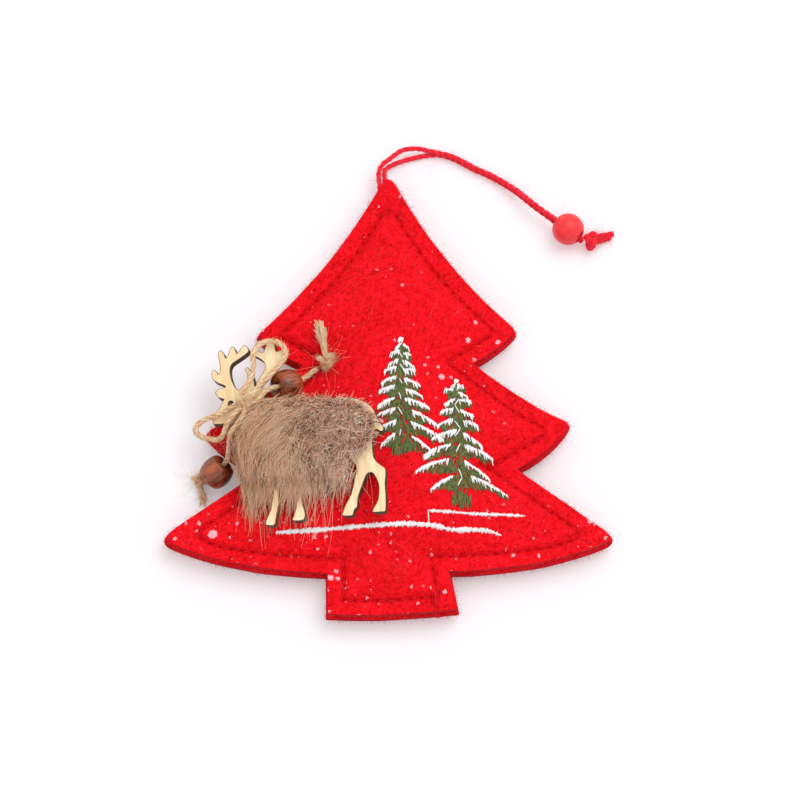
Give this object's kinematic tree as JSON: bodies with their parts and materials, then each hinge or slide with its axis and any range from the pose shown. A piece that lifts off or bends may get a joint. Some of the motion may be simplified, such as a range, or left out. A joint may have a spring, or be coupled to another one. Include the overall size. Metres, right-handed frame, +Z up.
{
  "type": "felt christmas ornament",
  "caption": "Padded felt Christmas tree ornament with stitched snowy firs, a plywood reindeer in a fur coat with a beaded jute bow, and a beaded cord hanger.",
  "frame": {"origin": "on the table under the middle of the two felt trees, the ornament lying on its back", "axes": "+X to the right across the tree, +Y towards the tree's tip and its hanger, +Z up out of the embroidered front"},
  "size_m": [0.1238, 0.1363, 0.0245],
  "materials": {
    "red_felt": "pressed wool felt, matt, with fine dark fibre flecks",
    "white_filling": "loose polyester fibre",
    "red_thread": "sewing thread, slight sheen",
    "green_thread": "satin-stitched embroidery thread",
    "white_thread": "satin-stitched embroidery thread",
    "plywood": "bare sanded plywood with scorched laser-cut edges",
    "fur": "long-haired faux fur on a woven backing",
    "glue": "set hot-melt glue",
    "jute": "twisted jute twine with stray fibres",
    "brown_wood": "stained and varnished",
    "red_wood": "painted, satin",
    "red_wool": "twisted wool cord with stray fibres"
  },
  "bodies": {
    "tree": {"felt_front_panel": "red_felt", "felt_back_panel": "red_felt", "fibre_filling": "white_filling", "seam_needle_thread": "red_thread", "seam_bobbin_thread": "red_thread", "fir_tall_embroidery": "green_thread", "fir_small_embroidery": "green_thread", "snow_line_long": "white_thread", "snow_line_short": "white_thread", "reindeer_plywood": "plywood", "fur_backing": "fur", "fur_pile": "fur", "glue_dab_shoulder": "glue", "glue_dab_rump": "glue", "jute_neck_wrap": "jute", "jute_bow_knot": "jute", "jute_loop_left": "jute", "jute_loop_right": "jute", "jute_tail_left": "jute", "jute_tail_right": "jute", "jute_end_knot_left": "jute", "jute_end_knot_right": "jute", "hanger_anchor": "red_wool", "hanger_strand_inner": "red_wool", "hanger_strand_outer": "red_wool", "hanger_end_knot": "red_wool"},
    "red_bead": {"red_bead": "red_wood"},
    "left_jute_bead": {"brown_bead_left": "brown_wood"},
    "right_jute_bead": {"brown_bead_right": "brown_wood"}
  },
  "joints": [
    {"name": "red_bead_slide", "type": "slide", "parent": "tree", "child": "red_bead", "axis": [-0.7931, 0.6091, 0], "range_m": [0, 0.005]},
    {"name": "left_jute_bead_turn", "type": "hinge", "parent": "tree", "child": "left_jute_bead", "pos_m": [-0.0467, -0.02165, 0.00475], "axis": [0.658, 0.563, 0.5], "continuous": true},
    {"name": "right_jute_bead_turn", "type": "hinge", "parent": "tree", "child": "right_jute_bead", "pos_m": [-0.0276, 0.0008, 0.0124], "axis": [0.7497, 0.3299, -0.5737], "continuous": true}
  ]
}
